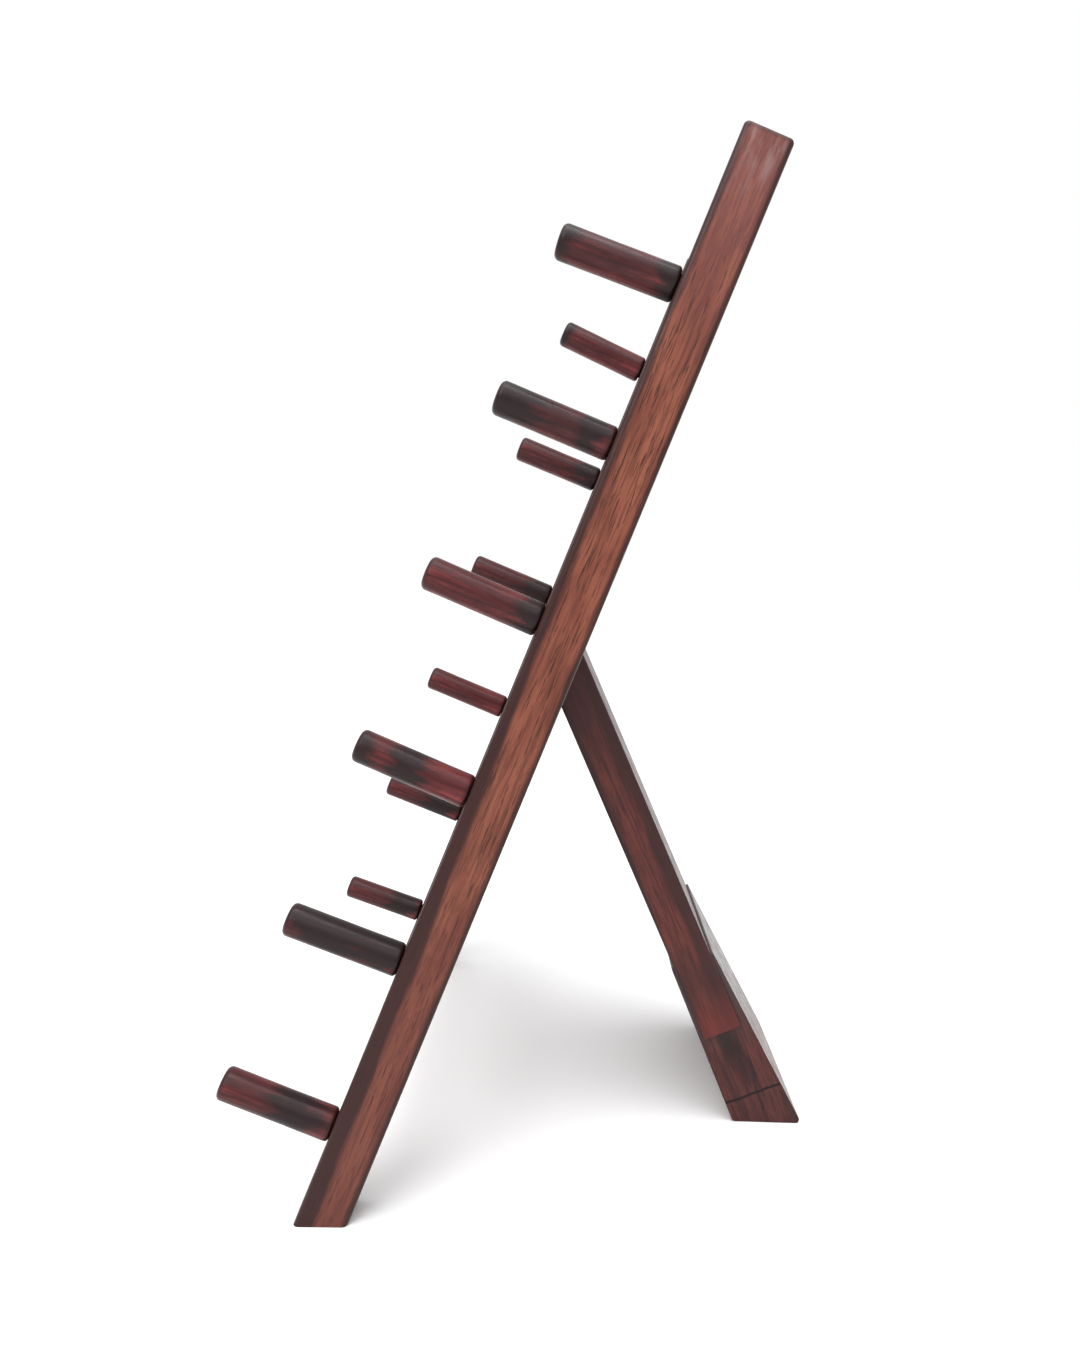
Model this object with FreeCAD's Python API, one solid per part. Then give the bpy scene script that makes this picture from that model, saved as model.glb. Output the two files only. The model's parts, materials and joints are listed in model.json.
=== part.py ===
import FreeCAD, Part
import math
import os

# A leaning mug tree: two splayed posts joined by three rails, two columns of turned
# pegs on the front, and a wide rear leg that folds on two butt hinges.
# Millimetres and degrees. +X points to the rear, +Y from the left post to the right
# post, +Z up. The origin ends up at the centre of the footprint, on the floor.

# Posts
POST_LENGTH = 660.0          # along the front face, floor to top end
POST_DEPTH = 29.0            # front to rear
POST_WIDTH = 24.0            # sideways
POST_ROUND = 3.0             # radius of the long edges
POST_END_ROUND = 2.5         # radius of the top end's edges
LEAN = 21.2                  # lean of the rack towards the rear
SPLAY = 4.7                  # each post's sideways tilt, wider at the floor
FOOT_SPACING = 342.0         # between the posts' centre lines at the floor

# Pegs, rows counted from the floor up
FIRST_ROW = 57.0             # floor to the lowest pegs, along the post
ROW_PITCH = 105.0
TOP_ROW_PITCH = 93.0         # the top row sits closer to the one below it
PEG_RADIUS = 9.8
PEG_LENGTH = 69.0            # in front of the post
PEG_TIP_ROUND = 3.2
PEG_ROOT_ROUND = 2.5
PEG_TENON_RADIUS = 6.0
PEG_TENON_LENGTH = 18.0
# Hand-bored pegs, so each is a little off square; plus points the tip further up.
LEFT_PEG_TILTS = [0.0, -1.0, 1.3, 0.9, 0.0, -2.2]
RIGHT_PEG_TILTS = [-2.4, -0.2, 0.5, 0.3, 0.0, 2.9]

# Rails, heights along the posts
RAIL_DEPTH = 22.0
RAIL_INSET = 2.0             # rail's rear face in from the posts' rear face
BOTTOM_RAIL_LOW = 96.0
BOTTOM_RAIL_HEIGHT = 38.0
TOP_RAIL_LOW = 600.0
TOP_RAIL_HEIGHT = 38.0
RAIL_ROUND = 1.5
TENON_THICKNESS = 11.0
TENON_SHOULDER = 6.0         # rail above and below its tenon
TENON_LENGTH = 14.0

# Rear leg
HINGE_HEIGHT = 325.6         # hinge axis, along the posts
LEG_LEAN = 24.3
LEG_THICKNESS = 26.3
LEG_WIDTH = 140.0
LEG_ROUND = 1.8
STOP_GAP = 0.1               # bevelled top end to the middle rail
RAIL_ABOVE_BEVEL = 4.0       # middle rail above the bevelled end's bearing
RAIL_BELOW_LEAF = 7.0        # middle rail below the hinges' frame leaves

# Foot, heights along the leg from where its rear face meets the floor
FOOT_TOP = 132.0
GROOVE_BOTTOM = 78.0
SOLE_TOP = 27.5
FOOT_SET_IN = 3.0            # foot's side face in from the leg's side face
FOOT_FRONT_WALL_TOP = 1.8    # wall in front of the leg at the top of the foot
FOOT_FRONT_WALL_FLOOR = 5.0
FOOT_REAR_WALL_TOP = 1.8
FOOT_REAR_WALL_FLOOR = 11.5
FOOT_TOP_ROUND = 1.0
SOLE_ROUND = 2.6
FOOT_DOWEL_RADIUS = 3.0
FOOT_DOWEL_HEIGHT = 104.0
FOOT_DOWEL_SPACING = 45.0
SOLE_DOWEL_RADIUS = 4.0
SOLE_DOWEL_LENGTH = 26.0
SOLE_DOWEL_SPACING = 86.0

# Hinges
HINGE_LENGTH = 40.0
HINGE_SPACING = 84.0
LEAF_WIDTH = 22.0            # from the axis
LEAF_THICKNESS = 1.6
KNUCKLE_RADIUS = 3.0
KNUCKLE_COUNT = 5
PIN_RADIUS = 1.5
PIN_HEAD_RADIUS = 2.2
PIN_HEAD_LENGTH = 1.2
SCREW_HEAD_RADIUS = 2.8
SCREW_RADIUS = 1.4
SCREW_LENGTH = 14.0
SCREW_COUNT = 3
SCREW_SPAN = 28.0            # first to last screw on a leaf
SCREW_NEAR = 9.5             # outer screws, from the hinge axis
SCREW_FAR = 15.0             # middle screw, from the hinge axis
SLOT_WIDTH = 0.7
SLOT_DEPTH = 0.6

# Clearances
GLUE_GAP = 0.1               # around tenons, dowels and the board in its groove
TENON_END_GAP = 1.0
RUNNING_GAP = 0.05           # pin in its knuckles
KNUCKLE_GAP = 0.3            # between knuckles, and from knuckle to leaf
RELIEF_GAP = 0.5             # wood cut back around the knuckles

Vector = FreeCAD.Vector
X_AXIS = Vector(1, 0, 0)
Y_AXIS = Vector(0, 1, 0)
Z_AXIS = Vector(0, 0, 1)
ORIGIN = Vector(0, 0, 0)
FAR = 1000.0                 # larger than the object, for cutting tools

RAIL_REAR = POST_DEPTH - RAIL_INSET
LEG_FRONT = -LEG_THICKNESS


def sine(degrees):
    return math.sin(math.radians(degrees))


def cosine(degrees):
    return math.cos(math.radians(degrees))


def tangent(degrees):
    return math.tan(math.radians(degrees))


def box(x_range, y_range, z_range):
    """A box between two values on each axis."""
    corner = Vector(x_range[0], y_range[0], z_range[0])
    size = [high - low for low, high in (x_range, y_range, z_range)]
    return Part.makeBox(size[0], size[1], size[2], corner)


def cylinder(radius, start, end):
    """A round bar from one point to another."""
    along = end.sub(start)
    return Part.makeCylinder(radius, along.Length, start, along)


def prism(points, along):
    """A flat outline pushed along a vector."""
    wire = Part.makePolygon(points + [points[0]])
    return Part.Face(wire).extrude(along)


def side_prism(outline, half_width):
    """An outline in X and Z, pushed to both sides."""
    points = [Vector(x, -half_width, z) for x, z in outline]
    return prism(points, Vector(0, 2 * half_width, 0))


def edges_where(shape, test):
    """Straight edges whose two ends both pass a test."""
    straight = [edge for edge in shape.Edges if edge.Curve.TypeId == "Part::GeomLine"]
    return [edge for edge in straight if all(test(vertex.Point) for vertex in edge.Vertexes)]


def edges_along(shape, axis):
    """Straight edges parallel to an axis."""
    found = []
    for edge in shape.Edges:
        direction = edge.Vertexes[-1].Point.sub(edge.Vertexes[0].Point)
        if direction.Length > 0.0 and abs(direction.normalize().dot(axis)) > 0.9999:
            found.append(edge)
    return found


def leaned(shape):
    """Upright rack to leaning rack: turned about the front edge of its foot."""
    result = shape.copy()
    result.rotate(ORIGIN, Y_AXIS, LEAN)
    return result


def leaned_point(point):
    """The same turn for a single point."""
    return FreeCAD.Rotation(Y_AXIS, LEAN).multVec(point)


# The hinge axis, on the middle rail's rear face in the upright rack and in place.
UPRIGHT_AXIS = Vector(RAIL_REAR, 0, HINGE_HEIGHT)
HINGE_AXIS = leaned_point(UPRIGHT_AXIS)
# The same axis in the leg's own frame, where Z runs up the rear face from the floor.
LEG_AXIS_HEIGHT = (HINGE_AXIS.z + LEG_THICKNESS * sine(LEG_LEAN)) / cosine(LEG_LEAN)
LEG_AXIS = Vector(LEG_FRONT, 0, LEG_AXIS_HEIGHT)


def placed_on_leg(shape):
    """The leg's own frame to its standing place."""
    result = shape.copy()
    result.translate(HINGE_AXIS.sub(LEG_AXIS))
    result.rotate(HINGE_AXIS, Y_AXIS, -LEG_LEAN)
    return result


def above_floor(shape):
    return shape.common(box((-FAR, FAR), (-FAR, FAR), (0.0, FAR)))


def row_heights():
    """Heights of the peg rows along a post, lowest first."""
    heights = [FIRST_ROW + ROW_PITCH * row for row in range(len(LEFT_PEG_TILTS) - 1)]
    return heights + [heights[-1] + TOP_ROW_PITCH]


def bevel_length():
    """Length of the leg's bevelled end, where it bears on the middle rail."""
    return LEG_THICKNESS / sine(LEAN + LEG_LEAN)


MIDDLE_RAIL_LOW = HINGE_HEIGHT - LEAF_WIDTH - RAIL_BELOW_LEAF
MIDDLE_RAIL_HIGH = HINGE_HEIGHT + bevel_length() + RAIL_ABOVE_BEVEL
RAIL_SPANS = {
    "bottom_rail": (BOTTOM_RAIL_LOW, BOTTOM_RAIL_LOW + BOTTOM_RAIL_HEIGHT),
    "middle_rail": (MIDDLE_RAIL_LOW, MIDDLE_RAIL_HIGH),
    "top_rail": (TOP_RAIL_LOW, TOP_RAIL_LOW + TOP_RAIL_HEIGHT),
}


def inner_face(height):
    """Sideways distance from the middle to a post's inner face, upright rack."""
    return FOOT_SPACING / 2 - POST_WIDTH / 2 / cosine(SPLAY) - height * tangent(SPLAY)


def splayed(shape, side):
    """A post's own frame to its place in the upright rack; side is -1 left, +1 right."""
    result = shape.copy()
    result.rotate(ORIGIN, X_AXIS, side * SPLAY)
    result.translate(Vector(0, side * FOOT_SPACING / 2, 0))
    return result


def peg_direction(tilt):
    return Vector(-cosine(tilt), 0, sine(tilt))


def peg_seat(tilt):
    """How far an off-square peg stands out, so its shoulder just meets the post."""
    flat = PEG_RADIUS - PEG_ROOT_ROUND
    return flat * sine(abs(tilt)) + PEG_ROOT_ROUND * (1 - cosine(tilt))


def peg(height, tilt):
    """A turned peg with rounded ends and a tenon, in the post's own frame."""
    direction = peg_direction(tilt)
    face = Vector(0, 0, height)
    root = face + direction * peg_seat(tilt)
    tip = root + direction * PEG_LENGTH
    body = cylinder(PEG_RADIUS, root, tip)
    rims = [edge for edge in body.Edges if edge.Closed]
    rims.sort(key=lambda edge: edge.CenterOfMass.sub(root).Length)
    body = body.makeFillet(PEG_ROOT_ROUND, [rims[0]])
    rims = [edge for edge in body.Edges if edge.Closed]
    rims.sort(key=lambda edge: edge.CenterOfMass.sub(root).Length)
    body = body.makeFillet(PEG_TIP_ROUND, [rims[-1]])
    tenon = cylinder(PEG_TENON_RADIUS, face - direction * PEG_TENON_LENGTH, root + direction)
    return body.fuse(tenon).removeSplitter()


def peg_bore(height, tilt):
    direction = peg_direction(tilt)
    face = Vector(0, 0, height)
    depth = PEG_TENON_LENGTH + TENON_END_GAP
    return cylinder(PEG_TENON_RADIUS + GLUE_GAP, face - direction * depth, face + direction * 2)


def rail_tenon(low, high, grow=0.0):
    """The bar that runs through a rail and into both posts."""
    middle = RAIL_REAR - RAIL_DEPTH / 2
    half = TENON_THICKNESS / 2 + grow
    reach = inner_face((low + high) / 2) + TENON_LENGTH
    if grow:
        reach += TENON_END_GAP
    tenon_low = low + TENON_SHOULDER - grow
    tenon_high = high - TENON_SHOULDER + grow
    return box((middle - half, middle + half), (-reach, reach), (tenon_low, tenon_high))


def rail(low, high):
    """A rail whose shoulders follow the splay of the posts, upright rack."""
    outline = [
        Vector(RAIL_REAR - RAIL_DEPTH, -inner_face(low), low),
        Vector(RAIL_REAR - RAIL_DEPTH, inner_face(low), low),
        Vector(RAIL_REAR - RAIL_DEPTH, inner_face(high), high),
        Vector(RAIL_REAR - RAIL_DEPTH, -inner_face(high), high),
    ]
    body = prism(outline, Vector(RAIL_DEPTH, 0, 0))
    body = body.makeFillet(RAIL_ROUND, edges_along(body, Y_AXIS))
    return body.fuse(rail_tenon(low, high)).removeSplitter()


def post(side, tilts):
    """A post with rounded edges, peg bores, rail mortises and a level foot."""
    half = POST_WIDTH / 2
    body = box((0, POST_DEPTH), (-half, half), (-POST_DEPTH, POST_LENGTH))
    body = body.makeFillet(POST_ROUND, edges_along(body, Z_AXIS))
    top_face = max(body.Faces, key=lambda face: face.CenterOfMass.z)
    body = body.makeFillet(POST_END_ROUND, top_face.Edges)
    for height, tilt in zip(row_heights(), tilts):
        body = body.cut(peg_bore(height, tilt))
    body = splayed(body, side)
    for low, high in RAIL_SPANS.values():
        body = body.cut(rail_tenon(low, high, GLUE_GAP))
    return above_floor(leaned(body))


def knuckle_span(index, centre):
    """Start and end of one knuckle along a hinge."""
    pitch = HINGE_LENGTH / KNUCKLE_COUNT
    start = centre - HINGE_LENGTH / 2 + index * pitch
    return start + KNUCKLE_GAP / 2, start + pitch - KNUCKLE_GAP / 2


def screw_places(axis, centre):
    """Screw positions on a leaf: two near the knuckles and one further out between."""
    places = []
    for index in range(SCREW_COUNT):
        share = index / (SCREW_COUNT - 1) - 0.5
        reach = SCREW_FAR if index % 2 else SCREW_NEAR
        places.append(Vector(axis.x, centre + share * SCREW_SPAN, axis.z - reach))
    return places


def screw(place, inward, grow=0.0):
    """A countersunk wood screw, its head flush at a place on the leaf's open face."""
    cone_depth = SCREW_HEAD_RADIUS - SCREW_RADIUS
    head = Part.makeCone(SCREW_HEAD_RADIUS + grow, SCREW_RADIUS + grow, cone_depth, place, inward)
    shank = cylinder(SCREW_RADIUS + grow, place, place + inward * (SCREW_LENGTH + grow))
    return head.fuse(shank).removeSplitter()


def slotted_screw(place, inward):
    slot = box((-SLOT_DEPTH, SLOT_DEPTH), (-FAR, FAR), (-SLOT_WIDTH / 2, SLOT_WIDTH / 2))
    slot.translate(Vector(place.x, 0, place.z))
    return screw(place, inward).cut(slot)


def leaf(axis, inward, centre, own):
    """One hinge leaf, hanging down from the axis with its open face in the axis plane."""
    depth = sorted((axis.x, axis.x + inward.x * LEAF_THICKNESS))
    span = (centre - HINGE_LENGTH / 2, centre + HINGE_LENGTH / 2)
    edge = KNUCKLE_RADIUS + KNUCKLE_GAP
    plate = box(depth, span, (axis.z - LEAF_WIDTH, axis.z - edge))
    pieces = []
    bores = []
    for index in range(KNUCKLE_COUNT):
        if index % 2 != own:
            continue
        start, end = knuckle_span(index, centre)
        first = Vector(axis.x, start, axis.z)
        last = Vector(axis.x, end, axis.z)
        pieces.append(cylinder(KNUCKLE_RADIUS, first, last))
        pieces.append(box(depth, (start, end), (axis.z - edge - 1.0, axis.z)))
        bores.append(cylinder(PIN_RADIUS + RUNNING_GAP, first - Y_AXIS, last + Y_AXIS))
    result = plate.multiFuse(pieces).removeSplitter()
    for bore in bores:
        result = result.cut(bore)
    for place in screw_places(axis, centre):
        result = result.cut(screw(place, inward, RUNNING_GAP))
    return result


def leaf_pocket(axis, inward, centre):
    """Wood removed for a leaf that is let in flush, and for the knuckles."""
    grow = GLUE_GAP
    depth = sorted((axis.x - inward.x * 2, axis.x + inward.x * (LEAF_THICKNESS + grow)))
    half = HINGE_LENGTH / 2
    pocket = box(depth, (centre - half - grow, centre + half + grow), (axis.z - LEAF_WIDTH - grow, axis.z))
    reach = half + PIN_HEAD_LENGTH + RELIEF_GAP
    relief_start = Vector(axis.x, centre - reach, axis.z)
    relief_end = Vector(axis.x, centre + reach, axis.z)
    relief = cylinder(KNUCKLE_RADIUS + RELIEF_GAP, relief_start, relief_end)
    pocket = pocket.fuse(relief)
    for place in screw_places(axis, centre):
        pocket = pocket.fuse(screw(place, inward, RUNNING_GAP))
    return pocket


def hinge_pin(axis, centre):
    """A pin with a small head at each end of the barrel."""
    half = HINGE_LENGTH / 2
    shaft = cylinder(PIN_RADIUS, Vector(axis.x, centre - half, axis.z), Vector(axis.x, centre + half, axis.z))
    for side in (-1, 1):
        start = Vector(axis.x, centre + side * half, axis.z)
        head = cylinder(PIN_HEAD_RADIUS, start, start + Y_AXIS * side * PIN_HEAD_LENGTH)
        shaft = shaft.fuse(head)
    return shaft.removeSplitter()


def foot_outline(low, high):
    """The foot's flared side view between two heights, in the leg's frame."""
    points = []
    for height in (low, high):
        share = (FOOT_TOP - height) / FOOT_TOP
        front = FOOT_FRONT_WALL_TOP + (FOOT_FRONT_WALL_FLOOR - FOOT_FRONT_WALL_TOP) * share
        rear = FOOT_REAR_WALL_TOP + (FOOT_REAR_WALL_FLOOR - FOOT_REAR_WALL_TOP) * share
        points.append(((LEG_FRONT - front, height), (rear, height)))
    (low_front, low_rear), (high_front, high_rear) = points
    return [low_front, low_rear, high_rear, high_front]


def foot_dowel(offset, grow=0.0):
    start = Vector(LEG_FRONT - LEG_THICKNESS, offset, FOOT_DOWEL_HEIGHT)
    end = Vector(LEG_THICKNESS, offset, FOOT_DOWEL_HEIGHT)
    return cylinder(FOOT_DOWEL_RADIUS + grow, start, end)


def sole_dowel(offset, grow=0.0):
    half = SOLE_DOWEL_LENGTH / 2 + grow
    middle = Vector(LEG_FRONT / 2, offset, SOLE_TOP)
    return cylinder(SOLE_DOWEL_RADIUS + grow, middle - Z_AXIS * half, middle + Z_AXIS * half)


FOOT_HALF_WIDTH = LEG_WIDTH / 2 - FOOT_SET_IN
FOOT_DOWEL_OFFSETS = [-FOOT_DOWEL_SPACING, 0.0, FOOT_DOWEL_SPACING]
SOLE_DOWEL_OFFSETS = [-SOLE_DOWEL_SPACING / 2, SOLE_DOWEL_SPACING / 2]
HINGES = {"left_hinge": -HINGE_SPACING / 2, "right_hinge": HINGE_SPACING / 2}


def rear_leg():
    """The board, its top end bevelled to bear on the middle rail's rear face."""
    half = LEG_WIDTH / 2
    board = box((LEG_FRONT, 0), (-half, half), (GROOVE_BOTTOM + GLUE_GAP, LEG_AXIS_HEIGHT + LEG_WIDTH))
    board = board.makeFillet(LEG_ROUND, edges_along(board, Z_AXIS))
    for offset in FOOT_DOWEL_OFFSETS:
        board = board.cut(foot_dowel(offset, GLUE_GAP))
    for centre in HINGES.values():
        board = board.cut(leaf_pocket(LEG_AXIS, X_AXIS, centre))
    board = placed_on_leg(board)
    in_front = box((-FAR, RAIL_REAR + STOP_GAP), (-FAR, FAR), (0, FAR))
    return board.cut(leaned(in_front))


def foot_block():
    block = side_prism(foot_outline(SOLE_TOP, FOOT_TOP), FOOT_HALF_WIDTH)
    top_edges = edges_where(block, lambda point: point.z > FOOT_TOP - 0.01)
    block = block.makeFillet(FOOT_TOP_ROUND, top_edges)
    groove = box((LEG_FRONT - GLUE_GAP, GLUE_GAP), (-FAR, FAR), (GROOVE_BOTTOM, FAR))
    block = block.cut(groove)
    for offset in FOOT_DOWEL_OFFSETS:
        block = block.cut(foot_dowel(offset, GLUE_GAP))
    for offset in SOLE_DOWEL_OFFSETS:
        block = block.cut(sole_dowel(offset, GLUE_GAP))
    return placed_on_leg(block)


def foot_sole():
    outline = foot_outline(-POST_DEPTH, SOLE_TOP)
    sole = above_floor(placed_on_leg(side_prism(outline, FOOT_HALF_WIDTH)))
    sole = sole.makeFillet(SOLE_ROUND, floor_corner_edges(sole))
    for offset in SOLE_DOWEL_OFFSETS:
        sole = sole.cut(placed_on_leg(sole_dowel(offset, GLUE_GAP)))
    return sole


def floor_corner_edges(shape):
    """The front and rear edges of a face that stands on the floor."""
    on_floor = edges_where(shape, lambda point: abs(point.z) < 1e-6)
    along = edges_along(shape, Y_AXIS)
    return [edge for edge in on_floor if any(edge.isSame(other) for other in along)]


def foot_dowels():
    foot = side_prism(foot_outline(SOLE_TOP, FOOT_TOP), FOOT_HALF_WIDTH)
    return [placed_on_leg(foot_dowel(offset).common(foot)) for offset in FOOT_DOWEL_OFFSETS]


def build():
    nodes = {}
    columns = {"left": (-1, LEFT_PEG_TILTS), "right": (1, RIGHT_PEG_TILTS)}
    for name, (side, tilts) in columns.items():
        nodes[name + "_post"] = [post(side, tilts)]
        for row, (height, tilt) in enumerate(zip(row_heights(), tilts), start=1):
            nodes[f"{name}_peg_{row}"] = [leaned(splayed(peg(height, tilt), side))]
    frame_screws = []
    leg_screws = []
    for name, centre in HINGES.items():
        nodes[name + "_frame_leaf"] = [leaned(leaf(UPRIGHT_AXIS, -X_AXIS, centre, 0))]
        nodes[name + "_leg_leaf"] = [placed_on_leg(leaf(LEG_AXIS, X_AXIS, centre, 1))]
        nodes[name + "_pin"] = [leaned(hinge_pin(UPRIGHT_AXIS, centre))]
        for place in screw_places(UPRIGHT_AXIS, centre):
            frame_screws.append(leaned(slotted_screw(place, -X_AXIS)))
        for place in screw_places(LEG_AXIS, centre):
            leg_screws.append(placed_on_leg(slotted_screw(place, X_AXIS)))
    nodes["frame_leaf_screws"] = frame_screws
    nodes["leg_leaf_screws"] = leg_screws
    for name, (low, high) in RAIL_SPANS.items():
        shape = rail(low, high)
        if name == "middle_rail":
            for centre in HINGES.values():
                shape = shape.cut(leaf_pocket(UPRIGHT_AXIS, -X_AXIS, centre))
        nodes[name] = [leaned(shape)]
    nodes["rear_leg"] = [rear_leg()]
    nodes["foot_block"] = [foot_block()]
    nodes["foot_sole"] = [foot_sole()]
    nodes["foot_dowels"] = foot_dowels()
    nodes["sole_dowels"] = [placed_on_leg(sole_dowel(offset)) for offset in SOLE_DOWEL_OFFSETS]
    return nodes


def export(nodes):
    """Centre the footprint on the origin and write one file per node."""
    os.makedirs("parts", exist_ok=True)
    everything = Part.Compound([shape for shapes in nodes.values() for shape in shapes])
    bounds = everything.optimalBoundingBox(False, False)
    shift = Vector(-(bounds.XMin + bounds.XMax) / 2, 0, 0)
    for name, shapes in nodes.items():
        for shape in shapes:
            shape.translate(shift)
        whole = shapes[0] if len(shapes) == 1 else Part.Compound(shapes)
        whole.exportStep(f"parts/{name}.step")
    print("shift", round(shift.x, 4), "hinge axis", HINGE_AXIS + shift)


export(build())
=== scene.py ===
import json
import math

import bmesh
import bpy
from mathutils import Matrix, Vector


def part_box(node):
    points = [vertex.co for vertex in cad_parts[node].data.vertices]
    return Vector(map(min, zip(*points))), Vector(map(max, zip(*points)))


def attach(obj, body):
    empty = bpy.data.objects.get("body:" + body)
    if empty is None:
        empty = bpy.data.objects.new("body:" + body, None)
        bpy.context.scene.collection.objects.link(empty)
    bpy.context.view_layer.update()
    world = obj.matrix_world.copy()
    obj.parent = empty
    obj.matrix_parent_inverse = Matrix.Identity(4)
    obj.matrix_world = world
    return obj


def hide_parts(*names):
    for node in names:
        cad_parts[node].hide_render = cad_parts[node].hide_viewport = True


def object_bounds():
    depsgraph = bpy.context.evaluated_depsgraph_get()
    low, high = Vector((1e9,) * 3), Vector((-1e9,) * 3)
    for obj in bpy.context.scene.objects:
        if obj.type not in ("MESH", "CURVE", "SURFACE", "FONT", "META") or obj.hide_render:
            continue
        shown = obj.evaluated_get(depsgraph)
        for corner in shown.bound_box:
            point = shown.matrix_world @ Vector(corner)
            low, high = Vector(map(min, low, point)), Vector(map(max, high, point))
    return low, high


# The looks of a leaning mug tree in dark red hardwood: lacquered posts, turned pegs,
# a folding rear leg with a flared foot, and small brass hinges. Metres throughout,
# +X to the rear, +Y from the left post to the right post, +Z up.

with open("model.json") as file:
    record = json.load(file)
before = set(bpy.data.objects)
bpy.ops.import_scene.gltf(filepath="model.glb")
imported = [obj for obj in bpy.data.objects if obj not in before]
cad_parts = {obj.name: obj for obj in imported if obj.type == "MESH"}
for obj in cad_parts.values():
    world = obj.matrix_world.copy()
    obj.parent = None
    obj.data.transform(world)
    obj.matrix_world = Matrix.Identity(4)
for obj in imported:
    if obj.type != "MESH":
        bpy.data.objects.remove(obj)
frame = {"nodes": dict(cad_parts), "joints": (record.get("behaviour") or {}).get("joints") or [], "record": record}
cad_low, cad_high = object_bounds()

MM = 0.001
PEG_ROOT_ROUND = 2.5 * MM
PEG_TIP_ROUND = 3.2 * MM
PEG_NECK = 6.0 * MM          # radius of the tenon, seen only in the gap at the root
PEG_RADIUS = 9.8 * MM
ROWS = range(1, 7)
SIDES = ("left", "right")


# ---------------------------------------------------------------- places from the frame

def mount(name):
    """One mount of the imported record."""
    return next(item for item in frame["record"]["mounts"] if item["name"] == name)


def post_direction(side):
    """Unit vector up a post, from its lowest peg to its highest."""
    low = Vector(mount(side + "_peg_1")["pos_m"])
    high = Vector(mount(side + "_peg_5")["pos_m"])
    return (high - low).normalized()


def leg_direction():
    """Unit vector up the rear leg, from the foot's middle to the hinge axis."""
    low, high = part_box("rear_leg")
    foot_low, foot_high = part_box("foot_block")
    run = (low.x + high.x) / 2 - (foot_low.x + foot_high.x) / 2
    rise = (low.z + high.z) / 2 - (foot_low.z + foot_high.z) / 2
    return Vector((run, 0.0, rise)).normalized()


def hinge_axis():
    """A point on the fold's axis."""
    return Vector(frame["joints"][0]["pos_m"])


def post_foot(side):
    """The front lower edge of a post, at its middle line."""
    low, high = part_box(side + "_post")
    sideways = mount(side + "_post_foot")["pos_m"][1]
    return Vector((low.x, sideways, 0.0))


# ---------------------------------------------------------------- node helpers

class Tree:
    """A material's node tree with short calls for the nodes that the woods use."""

    def __init__(self, name):
        self.material = bpy.data.materials.new(name)
        self.material.use_nodes = True
        self.nodes = self.material.node_tree.nodes
        self.links = self.material.node_tree.links
        self.shader = self.nodes["Principled BSDF"]

    def put(self, socket, value):
        """Links a socket, or sets a plain value."""
        if isinstance(value, bpy.types.NodeSocket):
            self.links.new(value, socket)
        else:
            socket.default_value = value

    def maths(self, operation, first, second=0.0, clamp=False):
        node = self.nodes.new("ShaderNodeMath")
        node.operation = operation
        node.use_clamp = clamp
        self.put(node.inputs[0], first)
        self.put(node.inputs[1], second)
        return node.outputs[0]

    def noise(self, vector, scale, detail=3.0, roughness=0.55, distortion=0.0):
        node = self.nodes.new("ShaderNodeTexNoise")
        self.put(node.inputs["Vector"], vector)
        node.inputs["Scale"].default_value = scale
        node.inputs["Detail"].default_value = detail
        node.inputs["Roughness"].default_value = roughness
        node.inputs["Distortion"].default_value = distortion
        return node.outputs["Fac"]

    def ramp(self, value, low, high, start=0.0, end=1.0):
        """Smooth step from start to end as value goes from low to high."""
        node = self.nodes.new("ShaderNodeMapRange")
        node.interpolation_type = "SMOOTHSTEP"
        self.put(node.inputs["Value"], value)
        self.put(node.inputs["From Min"], low)
        self.put(node.inputs["From Max"], high)
        self.put(node.inputs["To Min"], start)
        self.put(node.inputs["To Max"], end)
        return node.outputs["Result"]

    def mix(self, share, first, second, blend="MIX"):
        node = self.nodes.new("ShaderNodeMix")
        node.data_type = "RGBA"
        node.blend_type = blend
        self.put(node.inputs["Factor"], share)
        self.put(node.inputs["A"], colour(first))
        self.put(node.inputs["B"], colour(second))
        return node.outputs["Result"]

    def vector(self, across, depth, along):
        node = self.nodes.new("ShaderNodeCombineXYZ")
        for socket, value in zip(node.inputs, (across, depth, along)):
            self.put(socket, value)
        return node.outputs[0]

    def object_position(self):
        return self.nodes.new("ShaderNodeTexCoord").outputs["Object"]

    def distance_along(self, position, origin, direction):
        """Metres from a point, measured along a direction."""
        offset = self.nodes.new("ShaderNodeVectorMath")
        offset.operation = "SUBTRACT"
        self.put(offset.inputs[0], position)
        offset.inputs[1].default_value = origin
        dot = self.nodes.new("ShaderNodeVectorMath")
        dot.operation = "DOT_PRODUCT"
        self.put(dot.inputs[0], offset.outputs[0])
        dot.inputs[1].default_value = direction
        return dot.outputs["Value"]

    def bump(self, height, strength, distance):
        node = self.nodes.new("ShaderNodeBump")
        node.inputs["Strength"].default_value = strength
        node.inputs["Distance"].default_value = distance
        self.put(node.inputs["Height"], height)
        return node.outputs["Normal"]


def colour(value):
    """Adds alpha to a plain red, green, blue triple."""
    if isinstance(value, tuple) and len(value) == 3:
        return value + (1.0,)
    return value


class Grain:
    """Lengthwise wood coordinates: across, depth and along, in metres."""

    def __init__(self, tree, origin, along, across):
        depth = along.cross(across).normalized()
        position = tree.object_position()
        self.across = tree.distance_along(position, origin, across)
        self.depth = tree.distance_along(position, origin, depth)
        self.along = tree.distance_along(position, origin, along)
        stretched = tree.maths("MULTIPLY", self.along, 0.05)
        self.fibre = tree.vector(self.across, self.depth, stretched)
        loose = tree.maths("MULTIPLY", self.along, 0.22)
        self.figure = tree.vector(self.across, self.depth, loose)
        self.plain = tree.vector(self.across, self.depth, self.along)


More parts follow.
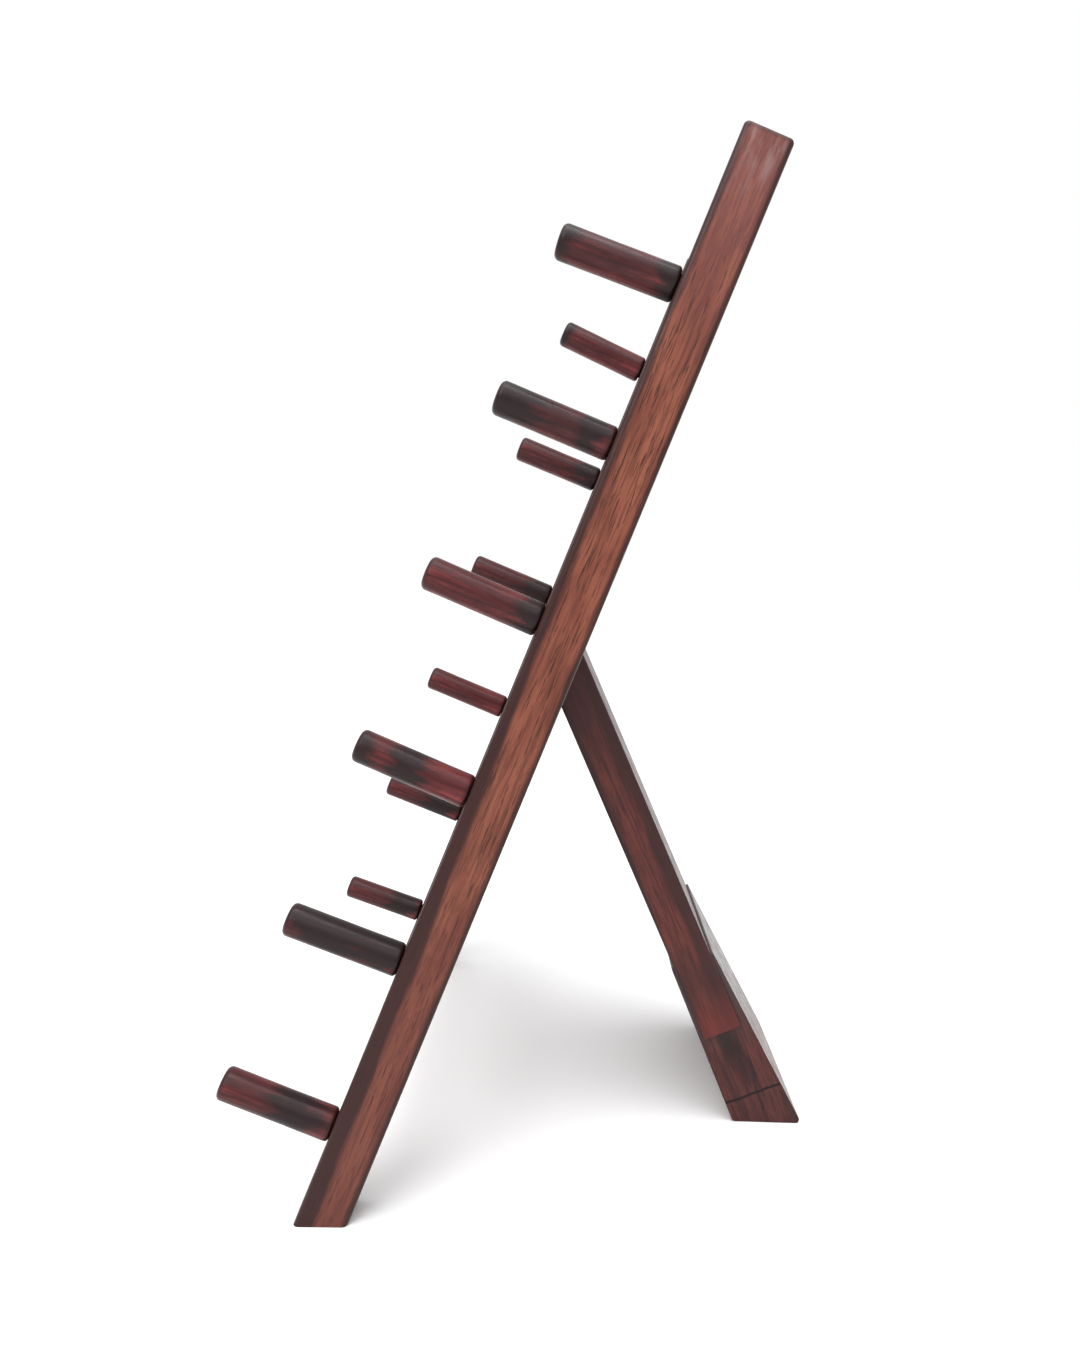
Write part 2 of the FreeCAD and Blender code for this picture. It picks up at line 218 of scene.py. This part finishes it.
def wood(name, grain_from, light, dark, black, streaks, pores, roughness):
    """A lacquered hardwood; grain_from makes its Grain, and the rest sets its tones."""
    tree = Tree(name)
    grain = grain_from(tree)
    broad = tree.noise(grain.figure, 75.0, detail=5.0, distortion=0.15)
    fine = tree.noise(grain.fibre, 520.0, detail=5.0, roughness=0.65)
    base = tree.mix(tree.ramp(broad, 0.36, 0.66), dark, light)
    base = tree.mix(tree.ramp(fine, 0.46, 0.62, 0.0, 0.70), base, tree.mix(0.5, dark, black))
    pore = tree.noise(grain.fibre, 1300.0, detail=2.0)
    pore_share = tree.ramp(pore, 0.57, 0.64, 0.0, pores)
    base = tree.mix(pore_share, base, black)
    streak = tree.noise(grain.figure, 60.0, detail=4.0, distortion=0.3)
    base = tree.mix(tree.ramp(streak, 0.58, 0.72, 0.0, streaks), base, black)
    return tree, grain, base, fine, pore_share, roughness


def finish_wood(made, base):
    """Satin lacquer over the colour: sheen from grain, fine relief and a clear coat."""
    tree, grain, _, fine, pore_share, roughness = made
    shader = tree.shader
    tree.put(shader.inputs["Base Color"], base)
    wear = tree.noise(grain.plain, 90.0, detail=3.0)
    rough = tree.ramp(wear, 0.3, 0.7, roughness - 0.07, roughness + 0.09)
    rough = tree.maths("ADD", rough, tree.maths("MULTIPLY", pore_share, 0.15))
    tree.put(shader.inputs["Roughness"], rough)
    shader.inputs["Specular IOR Level"].default_value = 0.15
    shader.inputs["Coat Weight"].default_value = 0.08
    shader.inputs["Coat Roughness"].default_value = 0.20
    relief = tree.maths("SUBTRACT", fine, tree.maths("MULTIPLY", pore_share, 0.6))
    tree.put(shader.inputs["Normal"], tree.bump(relief, 0.22, 0.0004))
    return tree.material


# ---------------------------------------------------------------- woods

ACROSS = Vector((0.0, 1.0, 0.0))


def post_wood(side):
    """Brown-red face, with a black band along the front edge that widens to the foot."""
    direction = post_direction(side)
    origin = post_foot(side)
    outward = Vector((0.0, -1.0 if side == "left" else 1.0, 0.0))
    sideways = (outward - direction * outward.dot(direction)).normalized()
    rearward = direction.cross(sideways)
    if rearward.x < 0.0:
        rearward = -rearward

    made = wood(
        side + "_post_wood",
        lambda tree: Grain(tree, origin, direction, sideways),
        light=(0.235, 0.075, 0.044), dark=(0.150, 0.042, 0.027), black=(0.026, 0.009, 0.008),
        streaks=0.22, pores=0.75, roughness=0.40,
    )
    tree, grain, base = made[:3]
    position = tree.object_position()
    from_front = tree.distance_along(position, origin, rearward)
    height = grain.along
    lower = tree.ramp(height, 0.0, 0.34, 1.0, 0.0)
    base = tree.mix(tree.maths("MULTIPLY", lower, 0.55), base, (0.095, 0.028, 0.024))
    # Pinkish, lighter tone towards the top end: a painted sheen of the lacquer.
    upper = tree.ramp(height, 0.50, 0.655, 0.0, 1.0)
    base = tree.mix(tree.maths("MULTIPLY", upper, 0.50), base, (0.165, 0.062, 0.064))
    # Grey-pink patches near the top end: partly rubbed wear, partly a painted sheen.
    wear_and_sheen = tree.noise(grain.figure, 170.0, detail=4.0)
    wear_and_sheen = tree.maths("MULTIPLY", tree.ramp(wear_and_sheen, 0.42, 0.68), tree.ramp(height, 0.612, 0.655))
    base = tree.mix(tree.maths("MULTIPLY", wear_and_sheen, 0.55), base, (0.300, 0.215, 0.210))
    ragged = tree.noise(grain.figure, 80.0, detail=4.0)
    band = tree.ramp(height, 0.0, 0.62, 0.0105, 0.0028)
    band = tree.maths("ADD", band, tree.maths("MULTIPLY", tree.maths("SUBTRACT", ragged, 0.5), 0.006))
    edge = tree.maths("SUBTRACT", from_front, band)
    front_band = tree.ramp(edge, -0.0016, 0.0022, 0.93, 0.0)
    base = tree.mix(front_band, base, (0.026, 0.010, 0.010))
    # Dark line along the rear edge: partly dark wood, partly painted shade on the rounded edge.
    rear_edge = tree.maths("ADD", from_front, tree.maths("MULTIPLY", ragged, 0.003))
    rear = tree.ramp(rear_edge, 0.0255, 0.0295, 0.0, 0.90)
    base = tree.mix(rear, base, (0.022, 0.008, 0.008))
    top_edge = tree.ramp(height, 0.6555, 0.6595, 0.0, 0.85)
    base = tree.mix(top_edge, base, (0.040, 0.022, 0.022))
    return finish_wood(made, base)


def rail_wood(node):
    """Rails with grain that runs across from post to post."""
    low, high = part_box(node)
    origin = (low + high) / 2
    made = wood(
        node + "_wood",
        lambda tree: Grain(tree, origin, ACROSS, Vector((0.0, 0.0, 1.0))),
        light=(0.19, 0.055, 0.038), dark=(0.09, 0.026, 0.021), black=(0.020, 0.008, 0.008),
        streaks=0.5, pores=0.6, roughness=0.42,
    )
    return finish_wood(made, made[2])


# Where each peg's black figure lies: from root (0) to tip (1), its length as a share
# of the peg, and how far it wraps: -1 keeps it underneath, 1 on top, 0 all round.
PEG_FIGURE = {
    "left_peg_1": {"red": 0.45, "patches": [(0.35, 0.22, 0.2)]},
    "left_peg_2": {"red": 0.40, "patches": [(0.62, 0.40, 0.8), (0.15, 0.20, 0.6)]},
    "left_peg_3": {"red": 1.00, "patches": [(0.55, 0.18, 0.0), (0.95, 0.14, -0.7)]},
    "left_peg_4": {"red": 0.75, "patches": [(0.02, 0.22, -0.4)]},
    "left_peg_5": {"red": 0.20, "patches": [(0.92, 0.34, 0.2), (0.20, 0.12, 0.4)]},
    "left_peg_6": {"red": 0.30, "patches": [(1.00, 0.16, 0.6), (0.05, 0.14, 0.2)]},
    "right_peg_1": {"red": 0.50, "patches": [(0.25, 0.20, 0.1)]},
    "right_peg_2": {"red": 0.60, "patches": [(0.30, 0.24, -0.2)]},
    "right_peg_3": {"red": 0.85, "patches": []},
    "right_peg_4": {"red": 0.35, "patches": [(0.12, 0.26, 0.0)]},
    "right_peg_5": {"red": 0.40, "patches": [(0.06, 0.28, 0.2)]},
    "right_peg_6": {"red": 0.65, "patches": [(0.98, 0.10, 0.4)]},
}


def peg_axis(name):
    """Middle, unit direction from root to tip, and turned length of a peg."""
    item = mount(name)
    return Vector(item["pos_m"]), Vector(item["axis"]), item["dims"]["length_mm"] * MM


def peg_wood(name):
    """Deep red peg with black patches that follow the grain."""
    middle, direction, length = peg_axis(name)
    root = middle - direction * (length / 2 + PEG_ROOT_ROUND)
    whole = length + PEG_ROOT_ROUND + PEG_TIP_ROUND
    sideways = ACROSS - direction * ACROSS.dot(direction)
    sideways.normalize()
    upward = sideways.cross(direction)
    if upward.z < 0.0:
        upward = -upward
    figure = PEG_FIGURE[name]
    red = figure["red"]
    light = (0.100 + 0.110 * red, 0.021 + 0.014 * red, 0.022 + 0.014 * red)
    made = wood(
        name + "_wood",
        lambda tree: Grain(tree, root, direction, sideways),
        light=light, dark=(0.042 + 0.03 * red, 0.012, 0.013), black=(0.013, 0.006, 0.007),
        streaks=0.55, pores=0.45, roughness=0.33,
    )
    tree, grain, base = made[:3]
    position = tree.object_position()
    height = tree.distance_along(position, root, upward)
    ragged = tree.noise(grain.figure, 150.0, detail=4.0, distortion=0.3)
    ragged = tree.maths("MULTIPLY", tree.maths("SUBTRACT", ragged, 0.5), 3.2)
    for place, reach, lift in figure["patches"]:
        offset = tree.maths("SUBTRACT", tree.maths("DIVIDE", grain.along, whole), place)
        far = tree.maths("DIVIDE", tree.maths("ABSOLUTE", offset), reach)
        tilted = tree.maths("MULTIPLY", height, -lift / PEG_RADIUS)
        far = tree.maths("ADD", far, tree.maths("MULTIPLY", tilted, 0.5))
        far = tree.maths("ADD", far, ragged)
        base = tree.mix(tree.ramp(far, 0.35, 1.25, 0.94, 0.0), base, (0.014, 0.008, 0.009))
    # Dark band at the root: painted contact shade where the peg meets the post.
    ends = tree.ramp(grain.along, 0.0, 4.5 * MM, 0.9, 0.0)
    base = tree.mix(ends, base, (0.012, 0.005, 0.005))
    # Dark rim at the tip: painted shade on the rounded tip edge.
    tip = tree.ramp(grain.along, whole - 4.0 * MM, whole - 0.5 * MM, 0.0, 0.75)
    base = tree.mix(tip, base, (0.020, 0.008, 0.009))
    return finish_wood(made, base)


KNOT_ACROSS = 0.028          # from the middle of the leg, towards the right post
KNOT_DOWN = 0.040            # below the hinge axis


def leg_frame():
    """Origin on the leg's rear face at the hinge, its up direction and its rear normal."""
    up = leg_direction()
    rear = Vector((up.z, 0.0, -up.x))
    return hinge_axis(), up, rear


def leg_wood():
    """Dark board with long stripes and near-black bands along its edges."""
    origin, up, rear = leg_frame()
    made = wood(
        "rear_leg_wood",
        lambda tree: Grain(tree, origin, up, ACROSS),
        light=(0.125, 0.030, 0.024), dark=(0.060, 0.017, 0.015), black=(0.018, 0.008, 0.008),
        streaks=0.65, pores=0.5, roughness=0.36,
    )
    tree, grain, base = made[:3]
    from_front = tree.distance_along(tree.object_position(), origin, rear)
    wave = tree.noise(grain.figure, 45.0, detail=3.0)
    wave = tree.maths("MULTIPLY", tree.maths("SUBTRACT", wave, 0.5), 0.010)
    place = tree.maths("ADD", from_front, wave)
    base = tree.mix(tree.ramp(place, 0.0168, 0.0225, 0.0, 0.80), base, (0.030, 0.012, 0.012))
    base = tree.mix(tree.ramp(place, 0.0018, 0.0060, 0.85, 0.0), base, (0.026, 0.012, 0.012))
    upper = tree.ramp(grain.along, -0.09, 0.0, 0.0, 0.60)
    base = tree.mix(upper, base, (0.042, 0.016, 0.016))
    knot_place = tree.vector(
        tree.maths("SUBTRACT", grain.across, KNOT_ACROSS), 0.0,
        tree.maths("MULTIPLY", tree.maths("SUBTRACT", grain.along, -KNOT_DOWN), 0.6),
    )
    knot_size = tree.nodes.new("ShaderNodeVectorMath")
    knot_size.operation = "LENGTH"
    tree.put(knot_size.inputs[0], knot_place)
    on_rear = tree.ramp(from_front, 0.0225, 0.0245)
    knot = tree.ramp(knot_size.outputs["Value"], 0.0022, 0.0042, 0.95, 0.0)
    base = tree.mix(tree.maths("MULTIPLY", knot, on_rear), base, (0.008, 0.004, 0.004))
    glow = tree.ramp(grain.along, -0.262, -0.215, 0.55, 0.0)
    base = tree.mix(glow, base, (0.130, 0.020, 0.018))
    return finish_wood(made, base)


SEAM_WAVER = 0.08            # share of the figure's raggedness that the seam follows


def sole_seam(origin, up):
    """Where the sole meets the foot, measured along the leg; the seam is square to it."""
    corners = frame["nodes"]["foot_sole"].data.vertices
    return max((corner.co - origin).dot(up) for corner in corners)


def foot_wood(node):
    """Blackish foot, with a black wedge under the leg, part dark figure and part painted shadow of the leg's end,
    and grey-brown flanks that carry a painted sheen.
    """
    origin, up, rear = leg_frame()
    made = wood(
        node + "_wood",
        lambda tree: Grain(tree, origin, up, ACROSS),
        light=(0.100, 0.027, 0.024), dark=(0.050, 0.016, 0.015), black=(0.012, 0.006, 0.006),
        streaks=0.80, pores=0.45, roughness=0.30,
    )
    tree, grain, base = made[:3]
    from_front = tree.distance_along(tree.object_position(), origin, rear)
    ragged = tree.noise(grain.figure, 60.0, detail=3.0, distortion=0.8)
    ragged = tree.maths("MULTIPLY", tree.maths("SUBTRACT", ragged, 0.5), 0.022)
    # Black wedge under the leg: partly dark figure, partly a painted shadow cast by the leg's end.
    centred = tree.maths("ABSOLUTE", tree.maths("SUBTRACT", from_front, 0.017))
    wedge = tree.maths("ADD", centred, ragged)
    lower = tree.ramp(grain.along, -0.31, -0.262, 0.0, 1.0)
    wedge_and_shadow_share = tree.maths("MULTIPLY", tree.ramp(wedge, 0.002, 0.010, 0.9, 0.0), lower)
    base = tree.mix(wedge_and_shadow_share, base, (0.014, 0.006, 0.006))
    # Grey-brown flanks beside the leg: a painted grazing sheen.
    flank_sheen = tree.ramp(grain.along, -0.275, -0.225, 0.0, 0.75)
    base = tree.mix(flank_sheen, base, (0.055, 0.042, 0.042))
    waver = tree.maths("MULTIPLY", ragged, SEAM_WAVER)
    joint = tree.maths("SUBTRACT", tree.maths("ADD", grain.along, waver), sole_seam(origin, up))
    seam = tree.ramp(tree.maths("ABSOLUTE", joint), 0.0004, 0.0014, 0.95, 0.0)
    base = tree.mix(seam, base, (0.006, 0.003, 0.003))
    return finish_wood(made, base)


def dowel_wood(node):
    """Dowel ends, a little darker than the foot around them."""
    low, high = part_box(node)
    origin = (low + high) / 2
    made = wood(
        node + "_wood",
        lambda tree: Grain(tree, origin, Vector((1.0, 0.0, 0.0)), ACROSS),
        light=(0.060, 0.020, 0.016), dark=(0.030, 0.011, 0.010), black=(0.010, 0.005, 0.005),
        streaks=0.4, pores=0.8, roughness=0.48,
    )
    return finish_wood(made, made[2])


# ---------------------------------------------------------------- metals

def brushed_metal(name, tone, tarnish, roughness, stretch):
    """A rolled or turned metal: fine lines, soft tarnish and worn bright spots."""
    tree = Tree(name)
    position = tree.object_position()
    lines_at = tree.nodes.new("ShaderNodeVectorMath")
    lines_at.operation = "MULTIPLY"
    tree.put(lines_at.inputs[0], position)
    lines_at.inputs[1].default_value = stretch
    lines = tree.noise(lines_at.outputs[0], 900.0, detail=3.0)
    stain = tree.noise(position, 160.0, detail=4.0)
    base = tree.mix(tree.ramp(stain, 0.42, 0.68), tone, tarnish)
    tree.put(tree.shader.inputs["Base Color"], base)
    tree.shader.inputs["Metallic"].default_value = 1.0
    tree.put(tree.shader.inputs["Roughness"], tree.ramp(stain, 0.3, 0.7, roughness, roughness + 0.2))
    tree.put(tree.shader.inputs["Normal"], tree.bump(lines, 0.15, 0.0002))
    return tree.material


# ---------------------------------------------------------------- pieces

def lathe(name, outline, centre, direction, segments):
    """Spins a half outline of (distance along, radius) pairs into a closed turned piece."""
    mesh = bmesh.new()
    points = [mesh.verts.new((radius, 0.0, along)) for along, radius in outline]
    edges = [mesh.edges.new(pair) for pair in zip(points, points[1:])]
    bmesh.ops.spin(
        mesh, geom=points + edges, cent=(0, 0, 0), axis=(0, 0, 1), dvec=(0, 0, 0),
        angle=math.tau, steps=segments, use_merge=True,
    )
    bmesh.ops.remove_doubles(mesh, verts=mesh.verts, dist=1e-7)
    bmesh.ops.recalc_face_normals(mesh, faces=mesh.faces)
    turn = Vector((0.0, 0.0, 1.0)).rotation_difference(direction).to_matrix().to_4x4()
    bmesh.ops.transform(mesh, matrix=Matrix.Translation(centre) @ turn, verts=mesh.verts)
    for face in mesh.faces:
        face.smooth = True
    data = bpy.data.meshes.new(name)
    mesh.to_mesh(data)
    mesh.free()
    piece = bpy.data.objects.new(name, data)
    bpy.context.scene.collection.objects.link(piece)
    return piece


def rounded_corner(along, radius, corner, start, end, steps):
    """Points on a quarter round in a lathe outline, between two angles in degrees."""
    points = []
    for step in range(steps + 1):
        angle = math.radians(start + (end - start) * step / steps)
        points.append((along + corner * math.sin(angle), radius + corner * math.cos(angle)))
    return points


def turned_peg(name):
    """A hand-turned peg: crowned tip, softened shoulder and a slightly uneven body."""
    middle, direction, length = peg_axis(name)
    radius = mount(name)["dims"]["r_mm"] * MM
    start = -length / 2
    end = length / 2
    outline = [(start - PEG_ROOT_ROUND - 1.0 * MM, 0.0), (start - PEG_ROOT_ROUND - 1.0 * MM, PEG_NECK)]
    outline += [(start - PEG_ROOT_ROUND + 0.3 * MM, PEG_NECK)]
    outline += rounded_corner(start, radius - PEG_ROOT_ROUND, PEG_ROOT_ROUND, -90.0, 0.0, 8)
    phase = sum(ord(letter) for letter in name)
    for step in range(1, 24):
        share = step / 24
        uneven = math.sin(share * 7.0 + phase) + 0.5 * math.sin(share * 17.0 + phase * 2.0)
        ease = math.sin(share * math.pi)
        outline.append((start + length * share, radius - (0.06 - 0.03 * uneven) * MM * ease))
    outline += rounded_corner(end, radius - PEG_TIP_ROUND, PEG_TIP_ROUND, 0.0, 88.0, 8)
    outline.append((end + PEG_TIP_ROUND, (radius - PEG_TIP_ROUND) * 0.5))
    outline.append((end + PEG_TIP_ROUND, 0.0))
    piece = lathe(name + "_turned", outline, middle, direction, 72)
    piece.data.materials.append(peg_wood(name))
    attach(piece, "frame")
    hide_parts(name)
    return piece


def paint(node, material):
    """Gives a carried-over node one material."""
    slots = frame["nodes"][node].material_slots
    for item in slots:
        item.material = material


def paint_nodes():
    for side in SIDES:
        paint(side + "_post", post_wood(side))
    for node in ("top_rail", "middle_rail", "bottom_rail"):
        paint(node, rail_wood(node))
    paint("rear_leg", leg_wood())
    for node in ("foot_block", "foot_sole"):
        paint(node, foot_wood(node))
    for node in ("foot_dowels", "sole_dowels"):
        paint(node, dowel_wood(node))
    brass = brushed_metal(
        "hinge_brass", (0.62, 0.43, 0.17), (0.30, 0.19, 0.08), 0.26, (6.0, 0.2, 6.0)
    )
    steel = brushed_metal(
        "screw_steel", (0.50, 0.47, 0.42), (0.22, 0.19, 0.16), 0.30, (1.0, 1.0, 1.0)
    )
    for side in SIDES:
        for part in ("frame_leaf", "leg_leaf", "pin"):
            paint(f"{side}_hinge_{part}", brass)
    for node in ("frame_leaf_screws", "leg_leaf_screws"):
        paint(node, steel)


# ---------------------------------------------------------------- studio

FLOOR_SIZE = 12.0
FLOOR_DROP = 0.0002
ROOM_LIGHT = 0.62            # how strongly the white room lights the object
ROOM_SEEN = 1.0              # how bright the room looks behind it


def make_floor():
    """A plain pale floor that runs far beyond the object."""
    mesh = bmesh.new()
    bmesh.ops.create_grid(mesh, x_segments=1, y_segments=1, size=FLOOR_SIZE)
    data = bpy.data.meshes.new("floor")
    mesh.to_mesh(data)
    mesh.free()
    floor = bpy.data.objects.new("floor", data)
    floor.location.z = -FLOOR_DROP
    bpy.context.scene.collection.objects.link(floor)
    tree = Tree("pale_floor")
    tree.shader.inputs["Base Color"].default_value = (0.93, 0.93, 0.93, 1.0)
    tree.shader.inputs["Roughness"].default_value = 0.9
    tree.shader.inputs["Specular IOR Level"].default_value = 0.1
    data.materials.append(tree.material)


def area_light(name, place, target, size, power):
    light = bpy.data.lights.new(name, "AREA")
    light.shape = "SQUARE"
    light.size = size
    light.energy = power
    lamp = bpy.data.objects.new(name, light)
    lamp.location = place
    lamp.rotation_mode = "QUATERNION"
    lamp.rotation_quaternion = (Vector(target) - Vector(place)).to_track_quat("-Z", "Y")
    bpy.context.scene.collection.objects.link(lamp)


def make_lights():
    """Soft light from above and the camera's side, in a bright white room."""
    centre = (cad_low + cad_high) / 2
    area_light("key_light", centre + Vector((-0.9, -1.6, 1.5)), centre, 1.2, 14.0)
    area_light("top_light", centre + Vector((0.1, -0.2, 1.9)), centre, 1.0, 16.0)
    sun = bpy.data.lights.new("overhead_light", "SUN")
    sun.energy = 2.1
    sun.angle = math.radians(75.0)
    overhead = bpy.data.objects.new("overhead_light", sun)
    overhead.rotation_euler = (math.radians(24.0), 0.0, math.radians(-18.0))
    bpy.context.scene.collection.objects.link(overhead)
    world = bpy.data.worlds.new("studio")
    world.use_nodes = True
    nodes = world.node_tree.nodes
    background = nodes["Background"]
    background.inputs["Color"].default_value = (1.0, 1.0, 1.0, 1.0)
    rays = nodes.new("ShaderNodeLightPath")
    seen = nodes.new("ShaderNodeMath")
    seen.operation = "MAXIMUM"
    world.node_tree.links.new(rays.outputs["Is Camera Ray"], seen.inputs[0])
    world.node_tree.links.new(rays.outputs["Is Glossy Ray"], seen.inputs[1])
    strength = nodes.new("ShaderNodeMapRange")
    strength.inputs["To Min"].default_value = ROOM_LIGHT
    strength.inputs["To Max"].default_value = ROOM_SEEN
    world.node_tree.links.new(seen.outputs[0], strength.inputs["Value"])
    world.node_tree.links.new(strength.outputs["Result"], background.inputs["Strength"])
    bpy.context.scene.world = world
    bpy.context.scene.view_settings.view_transform = "Standard"


CAMERA_PLACE = Vector((0.01297, -0.67367, 0.38426))
CAMERA_YAW = -1.078          # degrees, turned towards the rear
CAMERA_PITCH = 8.18          # degrees, looking down
CAMERA_ROLL = 1.119          # degrees
CAMERA_LENS = 25.39          # mm, on a 36 mm frame
CAMERA_SHIFT = (-0.0033, 0.0096)


def make_camera():
    """A close camera level with the middle of the rack, looking at its left side."""
    yaw, pitch, roll = (math.radians(angle) for angle in (CAMERA_YAW, CAMERA_PITCH, CAMERA_ROLL))
    forward = Vector((math.sin(yaw) * math.cos(pitch), math.cos(yaw) * math.cos(pitch), -math.sin(pitch)))
    level = Vector((math.cos(yaw), -math.sin(yaw), 0.0))
    above = level.cross(forward)
    right = level * math.cos(roll) + above * math.sin(roll)
    up = right.cross(forward)
    camera = bpy.data.objects.new("camera", bpy.data.cameras.new("camera"))
    camera.matrix_world = Matrix((
        (right.x, up.x, -forward.x, CAMERA_PLACE.x),
        (right.y, up.y, -forward.y, CAMERA_PLACE.y),
        (right.z, up.z, -forward.z, CAMERA_PLACE.z),
        (0.0, 0.0, 0.0, 1.0),
    ))
    camera.data.sensor_width = 36.0
    camera.data.lens = CAMERA_LENS
    camera.data.shift_x, camera.data.shift_y = CAMERA_SHIFT
    camera.data.clip_start = 0.02
    bpy.context.scene.collection.objects.link(camera)
    bpy.context.scene.camera = camera


make_camera()
make_lights()
make_floor()
paint_nodes()
for peg_side in SIDES:
    for peg_row in ROWS:
        turned_peg(f"{peg_side}_peg_{peg_row}")
